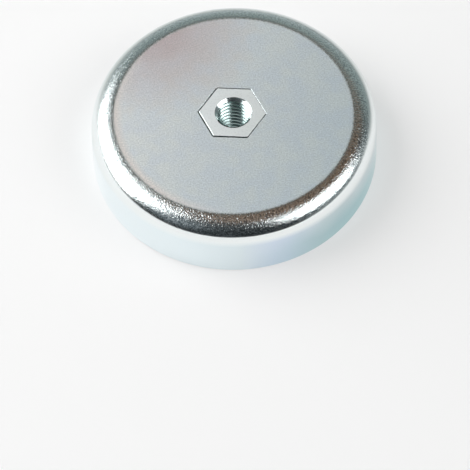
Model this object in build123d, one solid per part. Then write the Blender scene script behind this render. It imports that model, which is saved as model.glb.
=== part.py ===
from build123d import *
import os
from math import cos, radians, sqrt, tan

# Flat pot magnet. A drawn steel cup stands open side down over a ferrite ring. A steel core stands
# inside the ring, and the hexagonal boss on its top fills a hexagonal hole in the cup's flat top, so
# that a bolt screwed into the core's thread can't turn it. Resin run into the gap on each side of
# the ring holds it in the cup.
#
# Millimetres, +Z up. The origin is the middle of the magnetic face, which the magnet stands on, and
# +X runs through a corner of the hexagon.

# ---- Steel pot ----
POT_DIAMETER = 80.0  # outside, at the open rim
POT_HEIGHT = 18.0
POT_SHEET = 3.5  # thickness of the drawn sheet
POT_LEAN = 1.5  # degrees that the side leans in on its way up
SHOULDER_RADIUS = 6.4  # outside, between the side and the flat top
RIM_CHAMFER = 0.4  # both edges of the open rim
PUNCH_CHAMFER = 0.15  # top edge of the punched hexagonal hole

# ---- Threaded core ----
CORE_DIAMETER = 30.0
POLE_CHAMFER = 0.5  # edge of the core's pole face
HEX_FLATS = 16.1  # across the flats of the boss
HEX_CORNER_ROUND = 0.5
HEX_CHAMFER = 0.25  # top edge of the boss
HEX_FIT = 0.12  # gap between the boss and its hole, on every side
THREAD_DIAMETER = 10.0
THREAD_PITCH = 1.5
COUNTERSINK_RELIEF = 0.25  # how far the countersink's mouth clears the thread

# ---- Ferrite ring ----
RING_RECESS = 0.3  # the ring stands back from the two steel poles
RING_CHAMFER = 0.5

# ---- Resin ----
OUTER_GAP = 1.2  # between the ring and the pot, where it is narrowest
INNER_GAP = 1.0  # between the ring and the core
RESIN_RECESS = 0.6  # from the magnetic face to the resin's surface

# ---- Worked out ----
lean = tan(radians(POT_LEAN))
outer_rim_radius = POT_DIAMETER / 2
inner_rim_radius = outer_rim_radius - POT_SHEET / cos(radians(POT_LEAN))
ceiling = POT_HEIGHT - POT_SHEET
# The corner inside the shoulder is one flat, which keeps the sheet's thickness in mid-bend.
bend_flat = (SHOULDER_RADIUS - POT_SHEET) * (2 - sqrt(2))
core_radius = CORE_DIAMETER / 2
bore_radius = (THREAD_DIAMETER - THREAD_PITCH) / 2
countersink_radius = THREAD_DIAMETER / 2 + COUNTERSINK_RELIEF
ring_outer_radius = inner_rim_radius - ceiling * lean - OUTER_GAP
ring_inner_radius = core_radius + INNER_GAP
# The ring's upper outside edge is cut back to pass the flat inside the pot's shoulder.
ring_bend_chamfer = max(RING_CHAMFER, bend_flat - OUTER_GAP + RING_CHAMFER)


def nearest_corner(sketch, corner):
    return sketch.vertices().sort_by_distance(corner)[0]


def hexagon(flats, corner_round):
    """A regular hexagon with rounded corners, one of them on +X."""
    with BuildSketch() as sketch:
        RegularPolygon(flats / 2, 6, major_radius=False)
        fillet(sketch.vertices(), corner_round)
    return sketch.sketch


def steel_pot():
    """Drawn from one sheet, its hexagonal hole punched from above and its rim trimmed."""
    outer_rim = (outer_rim_radius, 0)
    inner_rim = (inner_rim_radius, 0)
    outer_shoulder = (outer_rim_radius - POT_HEIGHT * lean, POT_HEIGHT)
    inner_shoulder = (inner_rim_radius - ceiling * lean, ceiling)
    with BuildPart() as pot:
        with BuildSketch(Plane.XZ) as section:
            with BuildLine():
                Polyline(
                    (0, ceiling),
                    inner_shoulder,
                    inner_rim,
                    outer_rim,
                    outer_shoulder,
                    (0, POT_HEIGHT),
                    close=True,
                )
            make_face()
            fillet(nearest_corner(section, outer_shoulder), SHOULDER_RADIUS)
            chamfer(nearest_corner(section, inner_shoulder), bend_flat)
            chamfer(nearest_corner(section, outer_rim), RIM_CHAMFER)
            chamfer(nearest_corner(section, inner_rim), RIM_CHAMFER)
        revolve(axis=Axis.Z)
        with BuildSketch(Plane.XY.offset(ceiling)):
            add(hexagon(HEX_FLATS + 2 * HEX_FIT, HEX_CORNER_ROUND + HEX_FIT))
        extrude(amount=POT_SHEET, mode=Mode.SUBTRACT)
        flat_top = pot.faces().sort_by(Axis.Z)[-1]
        chamfer(flat_top.inner_wires()[0].edges(), PUNCH_CHAMFER)
    return pot.part


def threaded_core():
    """Round pole with a hexagonal boss, bored through at the size that the thread is cut from."""
    countersink_depth = countersink_radius - bore_radius
    with BuildPart() as core:
        Cylinder(core_radius, ceiling, align=(Align.CENTER, Align.CENTER, Align.MIN))
        chamfer(core.edges().group_by(Axis.Z)[0], POLE_CHAMFER)
        with BuildSketch(Plane.XY.offset(ceiling)):
            add(hexagon(HEX_FLATS, HEX_CORNER_ROUND))
        extrude(amount=POT_SHEET)
        chamfer(core.edges().group_by(Axis.Z)[-1], HEX_CHAMFER)
        with BuildSketch(Plane.XZ):
            with BuildLine():
                Polyline(
                    (0, 0),
                    (countersink_radius, 0),
                    (bore_radius, countersink_depth),
                    (bore_radius, POT_HEIGHT - countersink_depth),
                    (countersink_radius, POT_HEIGHT),
                    (0, POT_HEIGHT),
                    close=True,
                )
            make_face()
        revolve(axis=Axis.Z, mode=Mode.SUBTRACT)
    return core.part


def ferrite_ring():
    """Pressed and ground flat, its upper face on the pot's ceiling."""
    corners = [
        (ring_inner_radius, RING_RECESS),
        (ring_outer_radius, RING_RECESS),
        (ring_outer_radius, ceiling),
        (ring_inner_radius, ceiling),
    ]
    chamfers = [RING_CHAMFER, RING_CHAMFER, ring_bend_chamfer, RING_CHAMFER]
    with BuildPart() as ring:
        with BuildSketch(Plane.XZ) as section:
            with BuildLine():
                Polyline(*corners, close=True)
            make_face()
            for corner, size in zip(corners, chamfers):
                chamfer(nearest_corner(section, corner), size)
        revolve(axis=Axis.Z)
    return ring.part


def cast_beside(ring, corners):
    """Resin cast in a gap. Its section reaches a little way into the ring, which is cut from it."""
    with BuildPart() as resin:
        with BuildSketch(Plane.XZ):
            with BuildLine():
                Polyline(*corners, close=True)
            make_face()
        revolve(axis=Axis.Z)
        add(ring, mode=Mode.SUBTRACT)
    return resin.part


def outer_resin(ring):
    """Between the ring and the pot's side, up to where the flat inside the shoulder begins."""
    inside = ring_outer_radius - RING_CHAMFER
    top = ceiling - bend_flat
    return cast_beside(
        ring,
        [
            (inside, RESIN_RECESS),
            (inner_rim_radius - RESIN_RECESS * lean, RESIN_RECESS),
            (inner_rim_radius - top * lean, top),
            (inside, top),
        ],
    )


def inner_resin(ring):
    """Between the core and the ring, up to the pot's ceiling."""
    outside = ring_inner_radius + RING_CHAMFER
    return cast_beside(
        ring,
        [
            (core_radius, RESIN_RECESS),
            (outside, RESIN_RECESS),
            (outside, ceiling),
            (core_radius, ceiling),
        ],
    )


ring = ferrite_ring()
nodes = {
    "steel_pot": steel_pot(),
    "threaded_core": threaded_core(),
    "ferrite_ring": ring,
    "outer_resin": outer_resin(ring),
    "inner_resin": inner_resin(ring),
}

os.makedirs("parts", exist_ok=True)
for name, solid in nodes.items():
    export_step(solid, f"parts/{name}.step")
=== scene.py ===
from math import asin, cos, degrees, pi, radians, sin, sqrt, tan

import bmesh
import bpy
from mathutils import Matrix, Vector, noise


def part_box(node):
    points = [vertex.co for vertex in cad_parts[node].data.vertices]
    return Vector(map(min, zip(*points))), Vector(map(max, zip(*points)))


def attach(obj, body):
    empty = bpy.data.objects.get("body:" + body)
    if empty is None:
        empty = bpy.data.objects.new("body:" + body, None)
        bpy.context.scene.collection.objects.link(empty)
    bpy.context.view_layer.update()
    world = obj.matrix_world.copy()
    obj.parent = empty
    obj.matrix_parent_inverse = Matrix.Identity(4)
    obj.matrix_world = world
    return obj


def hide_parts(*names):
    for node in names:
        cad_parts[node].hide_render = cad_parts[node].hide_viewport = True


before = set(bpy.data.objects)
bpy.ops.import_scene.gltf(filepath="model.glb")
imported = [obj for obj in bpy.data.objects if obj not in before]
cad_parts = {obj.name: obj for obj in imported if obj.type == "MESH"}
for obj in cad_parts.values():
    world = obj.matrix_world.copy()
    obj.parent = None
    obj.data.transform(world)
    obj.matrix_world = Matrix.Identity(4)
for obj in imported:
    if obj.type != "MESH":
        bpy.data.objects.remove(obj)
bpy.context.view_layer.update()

# A ferrite pot magnet, standing on its magnetic face: a drawn steel cup, and in it a tapped core
# whose hexagonal boss comes up through the cup, a ring magnet, and resin on both sides of the ring.

MM = 0.001

# ---- Sizes, in millimetres ----
# Those that the frame carries are read from it.
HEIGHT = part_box("steel_pot")[1].z / MM
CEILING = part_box("ferrite_ring")[1].z / MM
CORE_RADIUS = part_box("threaded_core")[1].x / MM
RING_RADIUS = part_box("ferrite_ring")[1].x / MM
RING_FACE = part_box("ferrite_ring")[0].z / MM
RESIN_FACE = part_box("outer_resin")[0].z / MM
RESIN_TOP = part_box("outer_resin")[1].z / MM

POT_RADIUS = 40.0  # where the wall would meet the floor
POT_SHEET = 3.5
POT_LEAN = radians(1.5)
SHOULDER_RADIUS = 6.4
SHOULDER_Z = HEIGHT - SHOULDER_RADIUS
RIM_ROUND = 0.4

HEX_FLATS = 16.1
HEX_CORNER_ROUND = 0.5
HEX_CHAMFER = 0.1
HEX_FIT = 0.225  # the gap all round between the boss and its hole, were the two centred
PUNCH_ROUND = 0.1  # how far the punch rolls the hole's edge over

# Hand assembly leaves the boss, its face and its hole each a little off the thread's axis.
HEX_OFFSET = (-0.3, 0.05)
FACE_OFFSET = (-0.26, 0.02)
HOLE_OFFSET = (-0.425, -0.05)

POLE_CHAMFER = 0.5
THREAD_RADIUS = 5.0
THREAD_BORE = 4.25  # its radius
THREAD_PITCH = 1.5
THREAD_FLANK = radians(30)
THREAD_START = radians(150)
THREAD_STEPS = 96  # round one turn
COUNTERSINK_RADIUS = 5.15
COUNTERSINK_SLOPE = tan(radians(50))

RING_CHAMFER = 0.5
RING_BORE = 16.0  # its radius
CHIP_SPACING = 2.2
CHIP_SPARED = 0.3  # how strong the noise has to be before it chips the edge
CHIP_DEPTH = 2.5  # and how deep it goes for each unit beyond that
MENISCUS = 0.16  # how far the resin climbs the walls beside it

AROUND = 288  # steps round each turned surface, a multiple of six for the hexagons
HEX_SIDES = 6
SHARP = radians(25)  # an edge bent by more than this shows as an edge
NOISE_SEED = 1  # without one, Blender's noise vectors start from the clock

# In metres: how near points lie that count as on one loop, that are merged, and that are on a cut.
ON_LOOP = 1e-6
MERGED = 1e-7
ON_CUT = 1e-8


# ---- Meshes ----
def only(kind, parts):
    """The points, or the edges, among what an operator made."""
    return [part for part in parts if isinstance(part, kind)]


def start(bm, r, z):
    """The first point of an outline, in the X-Z plane, in millimetres."""
    return bm.verts.new((r * MM, 0, z * MM))


def line(bm, end, r, z):
    """Goes on from the outline's end along a straight line."""
    point = start(bm, r, z)
    bm.edges.new((end, point))
    return point


def arc(bm, end, r, z, angle, steps):
    """Goes on along an arc about (r, z), anticlockwise as seen from -Y where the angle is positive."""
    made = bmesh.ops.spin(
        bm,
        geom=[end],
        cent=(r * MM, 0, z * MM),
        axis=(0, -1, 0),
        angle=radians(angle),
        steps=steps,
        use_merge=False,
        use_duplicate=False,
    )
    return only(bmesh.types.BMVert, made["geom_last"])[0]


def meniscus(bm, end, r, rise):
    """Goes on to radius r at the same height, over a hollow that is rise deep in the middle."""
    r0, z0 = end.co.x / MM, end.co.z / MM
    half = (r - r0) / 2
    bend = (half * half + rise * rise) / (2 * rise)
    return arc(bm, end, r0 + half, z0 + rise - bend, -2 * degrees(asin(half / bend)), steps=8)


def turn(bm):
    """Spins the outline once round the Z axis."""
    bmesh.ops.spin(
        bm,
        geom=bm.verts[:] + bm.edges[:],
        cent=(0, 0, 0),
        axis=(0, 0, 1),
        angle=2 * pi,
        steps=AROUND,
        use_merge=True,
        use_duplicate=False,
    )


def edges_of(verts):
    """The edges at any of these points, each once."""
    return list(dict.fromkeys(edge for vert in verts for edge in vert.link_edges))


def verts_of(edges):
    """The points of these edges, each once."""
    return list(dict.fromkeys(vert for edge in edges for vert in edge.verts))


def circle(bm, r, z):
    """A loop of AROUND edges at radius r and height z."""
    place = Matrix.Translation((0, 0, z * MM))
    made = bmesh.ops.create_circle(bm, cap_ends=False, radius=r * MM, segments=AROUND, matrix=place)
    return edges_of(made["verts"])


def hexagon(bm, flats, corner_round, z, offset):
    """A loop of AROUND edges, a hexagon with rounded corners and a corner on +X."""
    corner_steps = 4
    x, y = offset
    place = Matrix.Translation((x * MM, y * MM, z * MM)) @ Matrix.Rotation(pi / 2, 4, "Z")
    sharp = bmesh.ops.create_circle(
        bm, cap_ends=False, radius=flats / sqrt(3) * MM, segments=HEX_SIDES, matrix=place
    )
    rounded = bmesh.ops.bevel(
        bm,
        geom=sharp["verts"],
        offset=corner_round * tan(pi / HEX_SIDES) * MM,
        offset_type="OFFSET",
        segments=corner_steps,
        profile=0.5,
        affect="VERTICES",
        material=-1,
    )
    edges = edges_of(rounded["verts"])
    sides = sorted(edges, key=lambda edge: edge.calc_length())[-HEX_SIDES:]
    cut = bmesh.ops.subdivide_edges(bm, edges=sides, cuts=AROUND // HEX_SIDES - corner_steps - 1)
    corners = [edge for edge in edges if edge.is_valid]
    pieces = only(bmesh.types.BMEdge, cut["geom"])
    return list(dict.fromkeys(corners + pieces))


def edges_at(bm, z, r=None):
    """The edges that lie at height z, and on the circle of radius r where it is given."""
    def near(vert):
        off = 0 if r is None else vert.co.xy.length - r * MM
        return abs(off) < ON_LOOP and abs(vert.co.z - z * MM) < ON_LOOP
    return [edge for edge in bm.edges if all(near(vert) for vert in edge.verts)]


def wander(edges, reach, size, seed):
    """Moves a flat loop's points in its plane, by up to about reach in waves of about size."""
    for vert in verts_of(edges):
        push = noise.noise_vector(vert.co / (size * MM) + Vector((0, 0, seed)))
        vert.co.x += push.x * reach * MM
        vert.co.y += push.y * reach * MM


def bridge(bm, *loops):
    """The walls from each loop to the next."""
    for one, other in zip(loops, loops[1:]):
        bmesh.ops.bridge_loops(bm, edges=one + other)


def flat(bm, outside, inside):
    """The flat face between two loops in one plane."""
    bmesh.ops.triangle_fill(bm, use_beauty=True, edges=outside + inside, normal=(0, 0, 1))


def finish_piece(bm, name, material, node):
    """Closes the mesh's seams, turns it outwards and makes it a piece that replaces a CAD node."""
    bmesh.ops.remove_doubles(bm, verts=bm.verts[:], dist=MERGED)
    bmesh.ops.recalc_face_normals(bm, faces=bm.faces[:])
    for face in bm.faces:
        face.smooth = True
    mesh = bpy.data.meshes.new(name)
    bm.to_mesh(mesh)
    bm.free()
    mesh.set_sharp_from_angle(angle=SHARP)
    mesh.materials.append(material)
    piece = bpy.data.objects.new(name, mesh)
    bpy.context.scene.collection.objects.link(piece)
    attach(piece, "root")
    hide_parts(node)


# ---- Materials ----
def colour(hex_code):
    """sRGB hex to the linear colour that a shader takes."""
    parts = [int(hex_code[i : i + 2], 16) / 255 for i in (1, 3, 5)]
    return [p / 12.92 if p <= 0.04045 else ((p + 0.055) / 1.055) ** 2.4 for p in parts] + [1]


def add(material, kind, links=None, **settings):
    """A node with its settings. Each input in links is joined to a node or socket, or set to a value.

    Inputs that share a name go by number: on a Mix node 0 is the share, 2 and 3 are its two
    numbers, and 6 and 7 its two colours.
    """
    node = material.node_tree.nodes.new(kind)
    for name, value in settings.items():
        setattr(node, name, value)
    for name, value in (links or {}).items():
        if isinstance(value, bpy.types.Node):
            value = next(socket for socket in value.outputs if socket.enabled)
        if isinstance(value, bpy.types.NodeSocket):
            material.node_tree.links.new(value, node.inputs[name])
        else:
            node.inputs[name].default_value = value
    return node


def new_material(name):
    """A material with an empty node tree."""
    material = bpy.data.materials.new(name)
    material.use_nodes = True
    material.node_tree.nodes.clear()
    return material


def millimetres(m):
    """A point's place on its piece, in millimetres, so that 1 / size is a pattern's scale."""
    metres = add(m, "ShaderNodeTexCoord").outputs["Object"]
    return add(m, "ShaderNodeMapping", {"Vector": metres, "Scale": (1 / MM, 1 / MM, 1 / MM)})


def off_axis(m, place):
    """How far out from the part's axis a point lies."""
    axes = add(m, "ShaderNodeSeparateXYZ", {"Vector": place}).outputs
    level = add(m, "ShaderNodeCombineXYZ", {"X": axes["X"], "Y": axes["Y"]})
    return add(m, "ShaderNodeVectorMath", {0: level}, operation="LENGTH")


def stretched_grain(m, place, stretched, matte, back, left):
    """Grain, raised where the sheet is stretched, with open pits between its crystals.

    It is drawn at three times its real size, so that it shows. It starts higher up towards the
    back, and lies flatter there. Up the wall run the fine lines of the draw. Returns the relief and
    the share of painted shade in the hollows.
    """
    grain_size = 0.36
    pit_size = 0.45
    axes = add(m, "ShaderNodeSeparateXYZ", {"Vector": place}).outputs
    height = axes["Z"]
    grain = add(m, "ShaderNodeTexNoise", {"Vector": place, "Scale": 1 / grain_size, "Detail": 1.0})
    apart = add(m, "ShaderNodeMapping", {"Vector": place, "Rotation": (0.6, 0.8, 0.5)})
    pits = add(m, "ShaderNodeTexNoise", {"Vector": apart, "Scale": 1 / pit_size, "Detail": 0.0})
    pit = add(m, "ShaderNodeMapRange", {"Value": pits, "From Min": 0.57, "From Max": 0.75})
    sunk = add(m, "ShaderNodeMath", {0: pit, 1: -0.022}, operation="MULTIPLY")
    rugged = add(m, "ShaderNodeMath", {0: grain, 1: 0.055, 2: sunk}, operation="MULTIPLY_ADD")

    rise = add(
        m, "ShaderNodeMapRange", {"Value": axes["Y"], "From Min": -38.0, "From Max": 10.0, "To Max": 1.9}
    )
    above = add(m, "ShaderNodeMath", {0: height, 1: rise}, operation="SUBTRACT")
    onset = add(m, "ShaderNodeMapRange", {"Value": above, "From Min": 14.8, "From Max": 15.4})
    calm = add(m, "ShaderNodeMix", {0: back, 2: 1.0, 3: 0.45})
    shown = add(m, "ShaderNodeMath", {0: onset, 1: calm}, operation="MULTIPLY")

    # The shoulder's inner edge is the most strained on the left.
    brow = add(m, "ShaderNodeMapRange", {"Value": height, "From Min": 17.0, "From Max": 17.7})
    left_brow = add(m, "ShaderNodeMath", {0: brow, 1: left}, operation="MULTIPLY")
    strain = add(m, "ShaderNodeMath", {0: left_brow, 1: 0.8, 2: stretched}, operation="MULTIPLY_ADD")
    strain = add(m, "ShaderNodeMath", {0: strain, 1: shown}, operation="MULTIPLY")
    raised = add(m, "ShaderNodeMix", {0: matte, 2: strain, 3: 0.2})
    rugged = add(m, "ShaderNodeMath", {0: rugged, 1: raised}, operation="MULTIPLY")

    upright = add(m, "ShaderNodeMapping", {"Vector": place, "Scale": (2, 2, 1 / 15)})
    drawn = add(m, "ShaderNodeTexNoise", {"Vector": upright, "Scale": 1.0, "Detail": 1.0})
    relief = add(m, "ShaderNodeMath", {0: drawn, 1: 0.005, 2: rugged}, operation="MULTIPLY_ADD")

    # Painted shade: the hollows between the grain are darkened, as shade in its pits.
    hollow = add(m, "ShaderNodeMapRange", {"Value": grain, "From Min": 0.58, "From Max": 0.38})
    dark = add(m, "ShaderNodeMath", {0: hollow, 1: shown}, operation="MULTIPLY")
    return relief, dark


def clear_film(m, place):
    """The colour of the passivation.

    It is neutral on the left and over the shoulder, lilac beside the middle of the wall, and
    blue-green at the foot on the right. Its paleness on the left is partly its tint and partly a
    painted reflection of the brightly lit paper on that side.
    """
    axes = add(m, "ShaderNodeSeparateXYZ", {"Vector": place}).outputs
    x, height = axes["X"], axes["Z"]
    # Partly painted reflection: the film is paler on the left, which brightens the lit paper mirrored
    # there.
    across = add(m, "ShaderNodeMapRange", {"Value": x, "From Min": -38.0, "From Max": 10.0})
    film = add(
        m, "ShaderNodeMix", {0: across, 6: colour("#F4FCFE"), 7: colour("#DDE9ED")}, data_type="RGBA"
    )
    beside = add(m, "ShaderNodeMath", {0: x, 1: 15.0}, operation="SUBTRACT")
    beside = add(m, "ShaderNodeMath", {0: beside}, operation="ABSOLUTE")
    lilac = add(m, "ShaderNodeMapRange", {"Value": beside, "From Min": 11.0, "From Max": 2.0})
    film = add(m, "ShaderNodeMix", {0: lilac, 6: film, 7: colour("#DBE6F4")}, data_type="RGBA")
    right = add(m, "ShaderNodeMapRange", {"Value": x, "From Min": 6.0, "From Max": 40.0})
    drift = add(m, "ShaderNodeTexNoise", {"Vector": place, "Scale": 1 / 12, "Detail": 1.0})
    shift = add(m, "ShaderNodeMath", {0: drift, 1: 7.0, 2: height}, operation="MULTIPLY_ADD")
    low = add(m, "ShaderNodeMapRange", {"Value": shift, "From Min": 17.0, "From Max": 9.0})
    deep = add(m, "ShaderNodeMath", {0: right, 1: low}, operation="MULTIPLY")
    film = add(m, "ShaderNodeMix", {0: deep, 6: film, 7: colour("#A6CFD4")}, data_type="RGBA")
    bent = add(m, "ShaderNodeMapRange", {"Value": height, "From Min": 11.5, "From Max": 13.5})
    return add(m, "ShaderNodeMix", {0: bent, 6: film, 7: colour("#F3F8F8")}, data_type="RGBA")


def rolled_face(m, place, edge, left, crystals):
    """The matte face's colour: painted lighter left, darker and cooler right; clouded, a stain, a paler
    edge.
    """
    stain_middle = (-25.0, 28.0, 18.0)
    # Painted light: the face is painted lighter towards the left lamp and darker and cooler to the right.
    slant = add(m, "ShaderNodeVectorMath", {0: place, 1: (1.0, -0.3, 0.0)}, operation="DOT_PRODUCT")
    across = add(m, "ShaderNodeMapRange", {"Value": slant, "From Min": -36.0, "From Max": 36.0})
    face = add(
        m, "ShaderNodeMix", {0: across, 6: colour("#F1F4F5"), 7: colour("#D4DFE3")}, data_type="RGBA"
    )
    cloud = add(m, "ShaderNodeTexNoise", {"Vector": place, "Scale": 1 / 5, "Detail": 4.0})
    cool = add(m, "ShaderNodeMapRange", {"Value": cloud, "From Min": 0.38, "From Max": 0.62})
    tint = add(
        m, "ShaderNodeMix", {0: cool, 6: colour("#FCFCFA"), 7: colour("#F6F8FB")}, data_type="RGBA"
    )
    face = add(m, "ShaderNodeMix", {0: 1.0, 6: face, 7: tint}, data_type="RGBA", blend_type="MULTIPLY")
    away = add(m, "ShaderNodeVectorMath", {0: place, 1: stain_middle}, operation="DISTANCE")
    away = add(m, "ShaderNodeMath", {0: cloud, 1: 14.0, 2: away}, operation="MULTIPLY_ADD")
    stain = add(m, "ShaderNodeMapRange", {"Value": away, "From Min": 38.0, "From Max": 12.0})
    face = add(m, "ShaderNodeMix", {0: stain, 6: face, 7: colour("#D2C6C7")}, data_type="RGBA")
    brim = add(m, "ShaderNodeMapRange", {"Value": edge, "From Min": 31.2, "From Max": 33.2})
    pale = add(m, "ShaderNodeMath", {0: brim, 1: left}, operation="MULTIPLY")
    face = add(m, "ShaderNodeMix", {0: pale, 6: face, 7: colour("#EEE9E5")}, data_type="RGBA")
    fleck = add(
        m, "ShaderNodeMix", {0: crystals, 6: colour("#D9DBDC"), 7: colour("#FFFFFF")}, data_type="RGBA"
    )
    return add(m, "ShaderNodeMix", {0: 1.0, 6: face, 7: fleck}, data_type="RGBA", blend_type="MULTIPLY")


def drawn_zinc():
    """Zinc-plated steel sheet, deep-drawn and clear passivated.

    The flat stays as the mill rolled it, which gives a matte face with faint clouds. The shoulder is
    stretched over the die until its grain stands out, so its reflections break into sparkle. The
    wall is ironed smooth: it mirrors what it stands on, through a blue-green film that is deepest
    at its foot.
    """
    m = new_material("zinc_plated_drawn_steel")
    place = millimetres(m)
    axes = add(m, "ShaderNodeSeparateXYZ", {"Vector": place}).outputs
    height = axes["Z"]
    stretched = add(m, "ShaderNodeMapRange", {"Value": height, "From Min": 15.1, "From Max": 16.6})
    back = add(m, "ShaderNodeMapRange", {"Value": axes["Y"], "From Min": -2.0, "From Max": 32.0})
    left = add(m, "ShaderNodeVectorMath", {0: place, 1: (-1.0, -0.5, 0.0)}, operation="DOT_PRODUCT")
    left = add(m, "ShaderNodeMapRange", {"Value": left, "From Min": 15.0, "From Max": 33.0})

    # The matte face ends in a torn edge, where the die took hold.
    torn = add(m, "ShaderNodeTexNoise", {"Vector": place, "Scale": 1 / 0.4, "Detail": 2.0})
    edge = add(m, "ShaderNodeMath", {0: torn, 1: 1.5, 2: off_axis(m, place)}, operation="MULTIPLY_ADD")
    edge = add(m, "ShaderNodeMath", {0: back, 1: 0.55, 2: edge}, operation="MULTIPLY_ADD")
    within = add(m, "ShaderNodeMapRange", {"Value": edge, "From Min": 34.1, "From Max": 33.6})
    upper = add(
        m, "ShaderNodeMapRange", {"Value": height, "From Min": HEIGHT - 0.05, "From Max": HEIGHT - 0.02}
    )
    matte = add(m, "ShaderNodeMath", {0: within, 1: upper}, operation="MULTIPLY")
    relief, dark = stretched_grain(m, place, stretched, matte, back, left)
    bump = add(m, "ShaderNodeBump", {"Height": relief, "Distance": MM})

    # The rolled face's crystals differ a little in shade and in how they scatter.
    crystals = add(m, "ShaderNodeTexNoise", {"Vector": place, "Scale": 1 / 0.4, "Detail": 2.0})
    crystals = add(m, "ShaderNodeMapRange", {"Value": crystals, "From Min": 0.3, "From Max": 0.7})
    scatter = add(m, "ShaderNodeMix", {0: crystals, 2: 0.54, 3: 0.72})
    bright = add(m, "ShaderNodeMix", {0: stretched, 2: 0.1, 3: 0.22})
    rough = add(m, "ShaderNodeMix", {0: matte, 2: bright, 3: scatter})
    metal = add(m, "ShaderNodeMix", {0: matte, 2: 1.0, 3: 0.56})

    # The film is painted darker in the grain's hollows: painted shade.
    film = add(
        m,
        "ShaderNodeMix",
        {0: dark, 6: clear_film(m, place), 7: colour("#A6ADAF")},
        data_type="RGBA",
        blend_type="MULTIPLY",
    )
    face = rolled_face(m, place, edge, left, crystals)
    skin = add(m, "ShaderNodeMix", {0: matte, 6: film, 7: face}, data_type="RGBA")
    zinc = add(
        m,
        "ShaderNodeBsdfPrincipled",
        {"Base Color": skin, "Roughness": rough, "Metallic": metal, "Normal": bump},
    )
    add(m, "ShaderNodeOutputMaterial", {"Surface": zinc})
    return m


def turned_zinc():
    """Zinc-plated steel, turned and tapped, clear passivated.

    The boss's face is satin with faint facing rings, painted lighter on the left as painted light. The
    countersink and thread are bright from the cutting edge. Down the bore the film is painted darker
    and teal, as painted shade and a painted teal reflection in the thread.
    """
    m = new_material("zinc_plated_turned_steel")
    place = millimetres(m)
    axes = add(m, "ShaderNodeSeparateXYZ", {"Vector": place}).outputs
    height = axes["Z"]
    out = off_axis(m, place)
    upper = add(
        m, "ShaderNodeMapRange", {"Value": height, "From Min": HEIGHT - 0.04, "From Max": HEIGHT - 0.01}
    )
    outside = add(
        m,
        "ShaderNodeMapRange",
        {"Value": out, "From Min": COUNTERSINK_RADIUS, "From Max": COUNTERSINK_RADIUS + 0.1},
    )
    face = add(m, "ShaderNodeMath", {0: upper, 1: outside}, operation="MULTIPLY")
    section = add(m, "ShaderNodeCombineXYZ", {"X": out, "Y": height})
    rings = add(m, "ShaderNodeTexNoise", {"Vector": section, "Scale": 1 / 0.22, "Detail": 3.0})
    relief = add(m, "ShaderNodeMath", {0: rings, 1: 0.006}, operation="MULTIPLY")
    bump = add(m, "ShaderNodeBump", {"Height": relief, "Distance": MM})

    crystals = add(m, "ShaderNodeTexNoise", {"Vector": place, "Scale": 1 / 0.5, "Detail": 3.0})
    crystals = add(m, "ShaderNodeMapRange", {"Value": crystals, "From Min": 0.3, "From Max": 0.7})
    bore = add(m, "ShaderNodeMapRange", {"Value": height, "From Min": 17.8, "From Max": 16.6})
    scatter = add(m, "ShaderNodeMix", {0: crystals, 2: 0.5, 3: 0.66})
    cut = add(m, "ShaderNodeMix", {0: bore, 2: 0.15, 3: 0.23})
    rough = add(m, "ShaderNodeMix", {0: face, 2: cut, 3: scatter})
    metal = add(m, "ShaderNodeMix", {0: face, 2: 1.0, 3: 0.44})

    # Painted shade and reflection: the film down the bore is darker and teal.
    film = add(
        m, "ShaderNodeMix", {0: bore, 6: colour("#E4ECEC"), 7: colour("#BFD5D3")}, data_type="RGBA"
    )
    # Painted light: the boss's face is painted lighter on the left, towards the left lamp, and darker on
    # the right.
    across = add(m, "ShaderNodeMapRange", {"Value": axes["X"], "From Min": -8.0, "From Max": 9.0})
    satin = add(
        m, "ShaderNodeMix", {0: across, 6: colour("#E9EEEF"), 7: colour("#E1E6E6")}, data_type="RGBA"
    )
    shade = add(m, "ShaderNodeMath", {0: rings, 1: crystals}, operation="ADD", use_clamp=True)
    fleck = add(
        m, "ShaderNodeMix", {0: shade, 6: colour("#E2E5E5"), 7: colour("#FFFFFF")}, data_type="RGBA"
    )
    satin = add(m, "ShaderNodeMix", {0: 1.0, 6: satin, 7: fleck}, data_type="RGBA", blend_type="MULTIPLY")
    skin = add(m, "ShaderNodeMix", {0: face, 6: film, 7: satin}, data_type="RGBA")
    zinc = add(
        m,
        "ShaderNodeBsdfPrincipled",
        {"Base Color": skin, "Roughness": rough, "Metallic": metal, "Normal": bump},
    )
    add(m, "ShaderNodeOutputMaterial", {"Surface": zinc})
    return m


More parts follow.
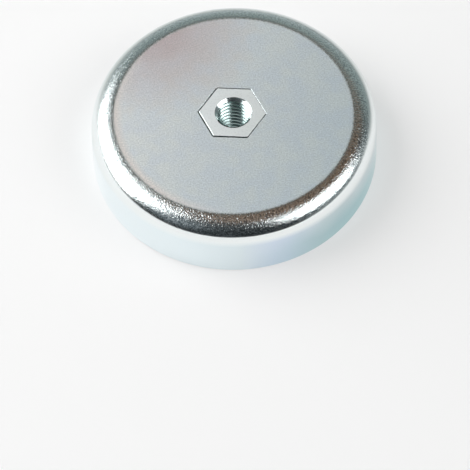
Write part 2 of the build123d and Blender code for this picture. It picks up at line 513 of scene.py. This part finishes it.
def hard_ferrite():
    """Sintered hard ferrite, its face ground flat after firing.

    A dark grey ceramic with a dull metallic sheen. The wheel leaves parallel lines across the face,
    and the powder leaves pores and paler grains.
    """
    m = new_material("ground_hard_ferrite")
    place = millimetres(m)
    height = add(m, "ShaderNodeSeparateXYZ", {"Vector": place}).outputs["Z"]
    along = add(m, "ShaderNodeMapping", {"Vector": place, "Scale": (6, 1 / 12, 1), "Rotation": (0, 0, 0.4)})
    wheel = add(m, "ShaderNodeTexNoise", {"Vector": along, "Scale": 1.0, "Detail": 3.0})
    powder = add(m, "ShaderNodeTexNoise", {"Vector": place, "Scale": 1 / 0.4, "Detail": 4.0})
    pores = add(m, "ShaderNodeTexVoronoi", {"Vector": place, "Scale": 1 / 1.3, "Randomness": 1.0})
    pore = add(
        m, "ShaderNodeMapRange", {"Value": pores.outputs["Distance"], "From Min": 0.14, "From Max": 0.06}
    )
    lines = add(m, "ShaderNodeMath", {0: wheel, 1: 0.012}, operation="MULTIPLY")
    relief = add(m, "ShaderNodeMath", {0: pore, 1: -0.08, 2: lines}, operation="MULTIPLY_ADD")
    bump = add(m, "ShaderNodeBump", {"Height": relief, "Distance": MM})
    tone = add(
        m, "ShaderNodeMix", {0: powder, 6: colour("#2A2A2C"), 7: colour("#48484B")}, data_type="RGBA"
    )
    # Painted shade: the pores are painted darker, as shade inside them.
    tone = add(m, "ShaderNodeMix", {0: pore, 6: tone, 7: colour("#1C1B1C")}, data_type="RGBA")
    ground = add(m, "ShaderNodeMapRange", {"Value": height, "From Min": 0.5, "From Max": 0.35})
    rough = add(m, "ShaderNodeMix", {0: ground, 2: 0.75, 3: 0.42})
    ceramic = add(
        m,
        "ShaderNodeBsdfPrincipled",
        {"Base Color": tone, "Roughness": rough, "Normal": bump, "IOR": 2.0},
    )
    add(m, "ShaderNodeOutputMaterial", {"Surface": ceramic})
    return m


def cast_resin():
    """Black epoxy, poured and cured.

    Glossy and slightly wavy, as it sets from a liquid, with a few pinholes where bubbles broke.
    """
    m = new_material("cast_black_epoxy")
    place = millimetres(m)
    swell = add(m, "ShaderNodeTexNoise", {"Vector": place, "Scale": 1 / 3, "Detail": 1.0})
    bubbles = add(m, "ShaderNodeTexVoronoi", {"Vector": place, "Scale": 1 / 2.4, "Randomness": 1.0})
    pinhole = add(
        m, "ShaderNodeMapRange", {"Value": bubbles.outputs["Distance"], "From Min": 0.1, "From Max": 0.05}
    )
    lift = add(m, "ShaderNodeMath", {0: swell, 1: 0.08}, operation="MULTIPLY")
    relief = add(m, "ShaderNodeMath", {0: pinhole, 1: -0.1, 2: lift}, operation="MULTIPLY_ADD")
    bump = add(m, "ShaderNodeBump", {"Height": relief, "Distance": MM})
    dust = add(m, "ShaderNodeTexNoise", {"Vector": place, "Scale": 1 / 1.5, "Detail": 4.0})
    rough = add(m, "ShaderNodeMix", {0: dust, 2: 0.08, 3: 0.34})
    tone = add(
        m, "ShaderNodeMix", {0: dust, 6: colour("#0E0E10"), 7: colour("#1B1B1D")}, data_type="RGBA"
    )
    epoxy = add(
        m,
        "ShaderNodeBsdfPrincipled",
        {"Base Color": tone, "Roughness": rough, "Normal": bump, "IOR": 1.55},
    )
    add(m, "ShaderNodeOutputMaterial", {"Surface": epoxy})
    return m


# ---- Pot ----
def wall_radius(z):
    """The pot's outside radius at height z, on the straight wall."""
    return POT_RADIUS - z * tan(POT_LEAN)


def inner_radius(z):
    """The pot's inside radius at height z, below the inner bend."""
    return wall_radius(z) - POT_SHEET / cos(POT_LEAN)


def drawn_pot():
    """The drawn cup, with its hexagonal hole punched from above, which rolls the hole's edge over."""
    bm = bmesh.new()
    seam = 13.0  # the top is turned from this radius outwards, and filled from there to the hexagon
    support = 0.05  # a narrow step beside each bend, which keeps the shading of the flats even
    shoulder_r = wall_radius(SHOULDER_Z) - SHOULDER_RADIUS / cos(POT_LEAN)
    bend = SHOULDER_RADIUS - POT_SHEET
    bend_z = CEILING - bend
    end = start(bm, seam, HEIGHT)
    end = line(bm, end, shoulder_r - support, HEIGHT)
    end = line(bm, end, shoulder_r, HEIGHT)
    end = arc(bm, end, shoulder_r, SHOULDER_Z, degrees(POT_LEAN) - 90, steps=30)
    end = line(bm, end, wall_radius(SHOULDER_Z - support), SHOULDER_Z - support)
    end = line(bm, end, wall_radius(RIM_ROUND + support), RIM_ROUND + support)
    end = line(bm, end, wall_radius(RIM_ROUND), RIM_ROUND)
    end = arc(bm, end, wall_radius(RIM_ROUND) - RIM_ROUND, RIM_ROUND, -90, steps=5)
    end = line(bm, end, inner_radius(0) + RIM_ROUND, 0)
    end = line(bm, end, inner_radius(RIM_ROUND), RIM_ROUND)
    end = line(bm, end, inner_radius(bend_z), bend_z)
    end = arc(bm, end, inner_radius(bend_z) - bend, bend_z, 90, steps=10)
    line(bm, end, RING_BORE, CEILING)
    turn(bm)
    top = edges_at(bm, HEIGHT, seam)
    under = edges_at(bm, CEILING, RING_BORE)
    wide = HEX_FLATS + 2 * HEX_FIT
    corner = HEX_CORNER_ROUND + HEX_FIT
    mouth = hexagon(bm, wide + 2 * PUNCH_ROUND, corner, HEIGHT, HOLE_OFFSET)
    lip = hexagon(bm, wide, corner, HEIGHT - PUNCH_ROUND, HOLE_OFFSET)
    foot = hexagon(bm, wide, corner, CEILING, HOLE_OFFSET)
    wander(mouth, reach=0.05, size=5.0, seed=3)
    wander(lip, reach=0.03, size=6.0, seed=0)
    flat(bm, top, mouth)
    bridge(bm, mouth, lip, foot)
    flat(bm, under, foot)
    finish_piece(bm, "drawn_pot", drawn_zinc(), "steel_pot")


# ---- Core ----
def cut_thread(bm):
    """A tapped hole from one face to the other, countersunk at both ends."""
    root = THREAD_PITCH / 8
    flank = (THREAD_RADIUS - THREAD_BORE) * tan(THREAD_FLANK)
    crest = THREAD_PITCH - root - 2 * flank
    # One pitch of the thread's section: how far up, to which radius, and in how many steps.
    corners = [
        (root, THREAD_RADIUS, 2),
        (flank, THREAD_BORE, 4),
        (crest, THREAD_BORE, 3),
        (flank, THREAD_RADIUS, 4),
    ]
    r, z = THREAD_RADIUS, -THREAD_PITCH
    end = start(bm, r, z)
    for rise, next_r, cuts in corners:
        for i in range(1, cuts + 1):
            end = line(bm, end, r + (next_r - r) * i / cuts, z + rise * i / cuts)
        r, z = next_r, z + rise
    bmesh.ops.rotate(bm, verts=bm.verts[:], cent=(0, 0, 0), matrix=Matrix.Rotation(THREAD_START, 3, "Z"))
    bmesh.ops.spin(
        bm,
        geom=bm.verts[:] + bm.edges[:],
        cent=(0, 0, 0),
        axis=(0, 0, 1),
        dvec=(0, 0, THREAD_PITCH / THREAD_STEPS * MM),
        angle=2 * pi,
        steps=THREAD_STEPS,
        use_merge=False,
        use_duplicate=False,
    )
    one_turn = bm.verts[:] + bm.edges[:] + bm.faces[:]
    for number in range(1, int(HEIGHT / THREAD_PITCH) + 2):
        copy = bmesh.ops.duplicate(bm, geom=one_turn)
        verts = only(bmesh.types.BMVert, copy["geom"])
        bmesh.ops.translate(bm, verts=verts, vec=(0, 0, number * THREAD_PITCH * MM))
    bmesh.ops.remove_doubles(bm, verts=bm.verts[:], dist=ON_LOOP)
    for vert in bm.verts:
        depth = min(vert.co.z / MM, HEIGHT - vert.co.z / MM)
        cone = COUNTERSINK_RADIUS - depth * COUNTERSINK_SLOPE
        r = vert.co.xy.length / MM
        if cone > r:
            vert.co.xy *= cone / r
    for z, way in ((HEIGHT, 1), (0, -1)):
        bmesh.ops.bisect_plane(
            bm,
            geom=bm.verts[:] + bm.edges[:] + bm.faces[:],
            dist=ON_CUT,
            plane_co=(0, 0, z * MM),
            plane_no=(0, 0, way),
            clear_outer=True,
        )


def hexagon_core():
    """The pole that stands inside the ring, with a hexagonal boss on top and a thread through it."""
    bm = bmesh.new()
    cut_thread(bm)
    mouth = edges_at(bm, HEIGHT)
    foot = edges_at(bm, 0)
    top = hexagon(bm, HEX_FLATS - 2 * HEX_CHAMFER, HEX_CORNER_ROUND, HEIGHT, FACE_OFFSET)
    edge = hexagon(bm, HEX_FLATS, HEX_CORNER_ROUND, HEIGHT - HEX_CHAMFER, HEX_OFFSET)
    base = hexagon(bm, HEX_FLATS, HEX_CORNER_ROUND, CEILING, HEX_OFFSET)
    wander(top, reach=0.04, size=5.0, seed=8)
    flat(bm, top, mouth)
    bridge(bm, top, edge, base)
    pole = circle(bm, CORE_RADIUS - POLE_CHAMFER, 0)
    side = circle(bm, CORE_RADIUS, POLE_CHAMFER)
    shoulder = circle(bm, CORE_RADIUS, CEILING)
    bridge(bm, pole, side, shoulder)
    flat(bm, pole, foot)
    flat(bm, shoulder, base)
    finish_piece(bm, "hexagon_core", turned_zinc(), "threaded_core")


# ---- Ring and resin ----
def ground_ring():
    """The ferrite ring, with its edges broken and here and there chipped."""
    c = RING_CHAMFER
    inset = 1.6  # a step beyond the chips, which keeps the shading of the face even
    corners = [
        (RING_BORE + c, RING_FACE),
        (RING_BORE + c + inset, RING_FACE),
        (RING_RADIUS - c - inset, RING_FACE),
        (RING_RADIUS - c, RING_FACE),
        (RING_RADIUS, RING_FACE + c),
        (RING_RADIUS, CEILING - 2 * c),
        (RING_RADIUS - 2 * c, CEILING),
        (RING_BORE + c, CEILING),
        (RING_BORE, CEILING - c),
        (RING_BORE, RING_FACE + c),
    ]
    bm = bmesh.new()
    end = first = start(bm, *corners[0])
    for r, z in corners[1:]:
        end = line(bm, end, r, z)
    bm.edges.new((end, first))
    turn(bm)
    for r, inward in ((RING_RADIUS - c, 1), (RING_BORE + c, -1)):
        for vert in verts_of(edges_at(bm, RING_FACE, r)):
            chip = max(0, noise.noise(vert.co / (CHIP_SPACING * MM)) - CHIP_SPARED)
            vert.co.xy *= 1 - inward * chip * CHIP_DEPTH / r
    finish_piece(bm, "ground_ring", hard_ferrite(), "ferrite_ring")


def casting(name, node, material, corners, far_r):
    """Resin in a gap: up its walls from the first corner to the last, and hollow across its face."""
    bm = bmesh.new()
    end = first = start(bm, *corners[0])
    for r, z in corners[1:]:
        end = line(bm, end, r, z)
    end = meniscus(bm, end, far_r, MENISCUS)
    bm.edges.new((end, first))
    turn(bm)
    finish_piece(bm, name, material, node)


def castings():
    """The resin between the ring and the pot, and between the ring and the core."""
    black = cast_resin()
    face = RESIN_FACE - MENISCUS / 2
    on_chamfer = RING_CHAMFER - (face - RING_FACE)
    chamfer_top = RING_FACE + RING_CHAMFER
    outer = [
        (inner_radius(face), face),
        (inner_radius(RESIN_TOP), RESIN_TOP),
        (RING_RADIUS, RESIN_TOP),
        (RING_RADIUS, chamfer_top),
        (RING_RADIUS - on_chamfer, face),
    ]
    casting("outer_casting", "outer_resin", black, outer, inner_radius(face))
    inner = [
        (RING_BORE + on_chamfer, face),
        (RING_BORE, chamfer_top),
        (RING_BORE, CEILING),
        (CORE_RADIUS, CEILING),
        (CORE_RADIUS, face),
    ]
    casting("inner_casting", "inner_resin", black, inner, RING_BORE + on_chamfer)


noise.seed_set(NOISE_SEED)
drawn_pot()
hexagon_core()
ground_ring()
castings()


# ---- Floor, lamps, room and camera, in metres ----
PAPER = "#FAFAFA"
FLOOR_RADIUS = 4.8
FLOOR_SIDES = 96
COVE_HEIGHT = 0.34  # how far the sheet turns up at its edge
FLOOR_GAP = 0.02 * MM  # keeps the paper clear of the magnet's face
PAPER_GLOW = 0.42  # the share of even white in the paper beside the pot, which softens the shadow
PAPER_LIT = 0.16  # inside this radius the paper shows the lamps' light and the shadow
PAPER_EVEN = 0.55  # and from this radius on it is evenly pale
# Painted reflection: the metal sees the paper behind the pot fade to this grey-green.
PAINTED_REFLECTION = "#6E7C7A"  # the colour that the mirrored paper behind the pot dims towards
PAINTED_REFLECTION_NEAR = 0.06  # it starts to dim from this radius on
PAINTED_REFLECTION_FAR = 0.4  # and dims no further beyond this one

# Where each lamp stands: degrees round from +X, degrees up, metres off, and degrees of roll.
LEFT_STAND = (170, 36, 0.9, 8)
RIGHT_STAND = (-22, 42, 1.3, -11)
LAMP_BRIGHTNESS = 3.5  # times white paper in full light

CAMERA_AT = Vector((0.03007, -0.34517, 0.50744))
CAMERA_AIM = Vector((0.00171, -0.02856, 0))
CAMERA_ROLL = radians(-2.18)
CAMERA_LENS = 166.26  # millimetres, as is the sensor's width
CAMERA_SENSOR = 36


def painted_reflection_dimming(m, place, out):
    """How dim the paper's painted reflection is, 0 to 1: dimmer further behind the pot and further aside.
    """
    axes = add(m, "ShaderNodeSeparateXYZ", {"Vector": place}).outputs
    x = axes["X"]
    # It fades in with the direction, from the pot's sides round to its back.
    behind = add(m, "ShaderNodeMath", {0: axes["Y"], 1: out}, operation="DIVIDE")
    behind = add(m, "ShaderNodeMapRange", {"Value": behind, "From Min": 0.3, "From Max": 0.65})
    near = add(m, "ShaderNodeMath", {0: PAINTED_REFLECTION_NEAR, 1: out}, operation="DIVIDE")
    further = add(
        m,
        "ShaderNodeMapRange",
        {
            "Value": near,
            "From Min": 1.0,
            "From Max": PAINTED_REFLECTION_NEAR / PAINTED_REFLECTION_FAR,
            "To Min": 0.12,
            "To Max": 0.5,
        },
    )
    aside = add(m, "ShaderNodeMath", {0: x}, operation="ABSOLUTE")
    aside = add(
        m, "ShaderNodeMapRange", {"Value": aside, "From Min": 0.02, "From Max": 0.08, "To Max": 0.2}
    )
    right = add(m, "ShaderNodeMapRange", {"Value": x, "From Min": 0.09, "From Max": 0.17, "To Max": 0.22})
    dim = add(m, "ShaderNodeMath", {0: further, 1: aside}, operation="ADD")
    dim = add(m, "ShaderNodeMath", {0: dim, 1: right}, operation="ADD")
    return add(m, "ShaderNodeMath", {0: dim, 1: behind}, operation="MULTIPLY")


def white_paper():
    """Matt white paper, which takes a soft shadow near the pot and fades into one even white.

    The lamps stand to the sides and in front. For glossy rays the paper behind the pot is
    painted dimmer, so the metal shows a painted reflection of a dimmer sheet there.
    """
    m = new_material("matt_white_paper")
    lit = add(
        m,
        "ShaderNodeBsdfPrincipled",
        {"Base Color": colour(PAPER), "Roughness": 0.9, "Specular IOR Level": 0.2},
    )
    even = add(m, "ShaderNodeEmission", {"Color": colour(PAPER), "Strength": 1.0})
    place = add(m, "ShaderNodeTexCoord").outputs["Object"]
    out = add(m, "ShaderNodeVectorMath", {0: place}, operation="LENGTH")
    far = add(
        m,
        "ShaderNodeMapRange",
        {"Value": out, "From Min": PAPER_LIT, "From Max": PAPER_EVEN, "To Min": PAPER_GLOW},
        interpolation_type="SMOOTHSTEP",
    )
    ray = add(m, "ShaderNodeLightPath").outputs
    seen = add(m, "ShaderNodeMath", {0: ray["Is Camera Ray"], 1: ray["Is Glossy Ray"]}, operation="ADD")
    seen = add(m, "ShaderNodeMath", {0: seen, 1: ray["Is Transmission Ray"]}, operation="ADD")
    share = add(m, "ShaderNodeMath", {0: far, 1: seen}, operation="MULTIPLY", use_clamp=True)
    paper = add(m, "ShaderNodeMixShader", {0: share, 1: lit, 2: even})
    # Painted reflection: for glossy rays the paper behind the pot is painted dimmer.
    dim = painted_reflection_dimming(m, place, out)
    dim = add(m, "ShaderNodeMath", {0: dim, 1: ray["Is Glossy Ray"]}, operation="MULTIPLY")
    painted_dim_reflection = add(m, "ShaderNodeEmission", {"Color": colour(PAINTED_REFLECTION), "Strength": 1.0})
    paper = add(m, "ShaderNodeMixShader", {0: dim, 1: paper, 2: painted_dim_reflection})
    add(m, "ShaderNodeOutputMaterial", {"Surface": paper})
    return m


def floor():
    """A round sheet of paper that turns up at its edge."""
    bm = bmesh.new()
    place = Matrix.Translation((0, 0, -FLOOR_GAP))
    made = bmesh.ops.create_circle(
        bm, cap_ends=True, radius=FLOOR_RADIUS, segments=FLOOR_SIDES, matrix=place
    )
    rim = [edge for edge in edges_of(made["verts"]) if edge.is_boundary]
    risen = bmesh.ops.extrude_edge_only(bm, edges=rim)
    verts = only(bmesh.types.BMVert, risen["geom"])
    bmesh.ops.translate(bm, verts=verts, vec=(0, 0, COVE_HEIGHT))
    mesh = bpy.data.meshes.new("floor")
    bm.to_mesh(mesh)
    bm.free()
    mesh.materials.append(white_paper())
    sheet = bpy.data.objects.new("floor", mesh)
    bpy.context.scene.collection.objects.link(sheet)


def towards(azimuth, elevation):
    """A direction, from its degrees round from +X and up from the floor."""
    a, e = radians(azimuth), radians(elevation)
    return Vector((cos(a) * cos(e), sin(a) * cos(e), sin(e)))


def softbox(name, stand, across, upward):
    """One rectangle of a flat soft lamp that faces the pot.

    across and upward are its edges, as tangents of the angles from the line to the lamp's centre.
    """
    azimuth, elevation, distance, roll = stand
    way = towards(azimuth, elevation)
    side = towards(azimuth + 90, 0)
    facing = Matrix((side, way.cross(side), way)).transposed() @ Matrix.Rotation(radians(roll), 3, "Z")
    middle = facing @ Vector((sum(across) / 2, sum(upward) / 2, 1))
    width, height = [(high - low) * distance for low, high in (across, upward)]
    data = bpy.data.lights.new(name, "AREA")
    data.shape = "RECTANGLE"
    data.size, data.size_y = width, height
    data.energy = LAMP_BRIGHTNESS * pi * width * height
    lamp = bpy.data.objects.new(name, data)
    bpy.context.scene.collection.objects.link(lamp)
    lamp.matrix_world = Matrix.Translation(middle * distance) @ facing.to_4x4()
    lamp.visible_camera = False


def room():
    """A dim studio: nearly black on the camera's side, grey-green behind and brown overhead.

    Its places are parts of a direction: x to the right, y behind and z up, each from -1 to 1.
    """
    world = bpy.data.worlds.new("room")
    bpy.context.scene.world = world
    world.use_nodes = True
    world.node_tree.nodes.clear()
    way = add(world, "ShaderNodeTexCoord").outputs["Generated"]
    x, y, z = add(world, "ShaderNodeSeparateXYZ", {"Vector": way}).outputs

    # The wall behind is paler low down, except at its ends.
    low = add(world, "ShaderNodeMapRange", {"Value": z, "From Min": 0.5, "From Max": 0.12})
    right_end = add(world, "ShaderNodeMapRange", {"Value": x, "From Min": 0.55, "From Max": 0.1})
    left_end = add(world, "ShaderNodeMapRange", {"Value": x, "From Min": -0.9, "From Max": -0.2})
    pale = add(world, "ShaderNodeMath", {0: low, 1: right_end}, operation="MULTIPLY")
    pale = add(world, "ShaderNodeMath", {0: pale, 1: left_end}, operation="MULTIPLY")
    behind = add(
        world, "ShaderNodeMix", {0: pale, 6: colour("#869392"), 7: colour("#B6BEBE")}, data_type="RGBA"
    )

    # The camera's side is full of dark things, with a paler wall on the right and some light thrown
    # back from the left.
    clutter = add(world, "ShaderNodeTexNoise", {"Vector": way, "Scale": 7.0, "Detail": 3.0})
    clutter = add(world, "ShaderNodeMapRange", {"Value": clutter, "From Min": 0.4, "From Max": 0.62})
    ahead = add(
        world, "ShaderNodeMix", {0: clutter, 6: colour("#2B2F31"), 7: colour("#4C5154")}, data_type="RGBA"
    )
    right = add(world, "ShaderNodeMapRange", {"Value": x, "From Min": 0.68, "From Max": 0.9})
    ahead = add(world, "ShaderNodeMix", {0: right, 6: ahead, 7: colour("#7C8485")}, data_type="RGBA")
    bounce = add(world, "ShaderNodeVectorMath", {0: way, 1: towards(-135, 38)}, operation="DOT_PRODUCT")
    bounce = add(world, "ShaderNodeMapRange", {"Value": bounce, "From Min": 0.91, "From Max": 0.99})
    ahead = add(world, "ShaderNodeMix", {0: bounce, 6: ahead, 7: colour("#8A9297")}, data_type="RGBA")
    back = add(world, "ShaderNodeMapRange", {"Value": y, "From Min": 0.5, "From Max": 0.66})
    walls = add(world, "ShaderNodeMix", {0: back, 6: ahead, 7: behind}, data_type="RGBA")

    # The ceiling shows brown overhead, an oval that darkens along its length.
    oval = add(
        world,
        "ShaderNodeMapping",
        {
            "Vector": way,
            "Location": (0.18, 0.18, 0),
            "Rotation": (0, 0, radians(45)),
            "Scale": (0.52, 0.42, 100),
        },
        vector_type="TEXTURE",
    )
    off = add(world, "ShaderNodeVectorMath", {0: oval}, operation="LENGTH")
    over = add(world, "ShaderNodeMapRange", {"Value": off, "From Min": 1.08, "From Max": 0.92})
    along = add(world, "ShaderNodeSeparateXYZ", {"Vector": oval}).outputs["X"]
    far = add(world, "ShaderNodeMapRange", {"Value": along, "From Min": -1.0, "From Max": 1.0})
    brown = add(
        world, "ShaderNodeMix", {0: far, 6: colour("#826F61"), 7: colour("#644C39")}, data_type="RGBA"
    )
    seen = add(world, "ShaderNodeMix", {0: over, 6: walls, 7: brown}, data_type="RGBA")
    light = add(world, "ShaderNodeBackground", {"Color": seen, "Strength": 1.0})
    add(world, "ShaderNodeOutputWorld", {"Surface": light})


def camera():
    """A long lens, from above and in front."""
    data = bpy.data.cameras.new("camera")
    data.lens = CAMERA_LENS
    data.sensor_width = CAMERA_SENSOR
    eye = bpy.data.objects.new("camera", data)
    bpy.context.scene.collection.objects.link(eye)
    level = (CAMERA_AIM - CAMERA_AT).to_track_quat("-Z", "Y").to_matrix()
    facing = level @ Matrix.Rotation(CAMERA_ROLL, 3, "Z")
    eye.matrix_world = Matrix.Translation(CAMERA_AT) @ facing.to_4x4()
    bpy.context.scene.camera = eye


floor()
# Each lamp is rectangles side by side, stepped to a slanting upper corner.
softbox("left_softbox", LEFT_STAND, (-0.58, 0.49), (-0.52, 0.25))
softbox("left_softbox_top", LEFT_STAND, (-0.2, 0.49), (0.25, 0.58))
softbox("left_softbox_corner", LEFT_STAND, (-0.4, -0.2), (0.25, 0.46))
softbox("right_softbox", RIGHT_STAND, (-0.31, 0.41), (-0.26, 0.33))
softbox("right_softbox_end", RIGHT_STAND, (0.41, 0.55), (-0.26, -0.05))
room()
camera()
bpy.context.scene.view_settings.view_transform = "Standard"
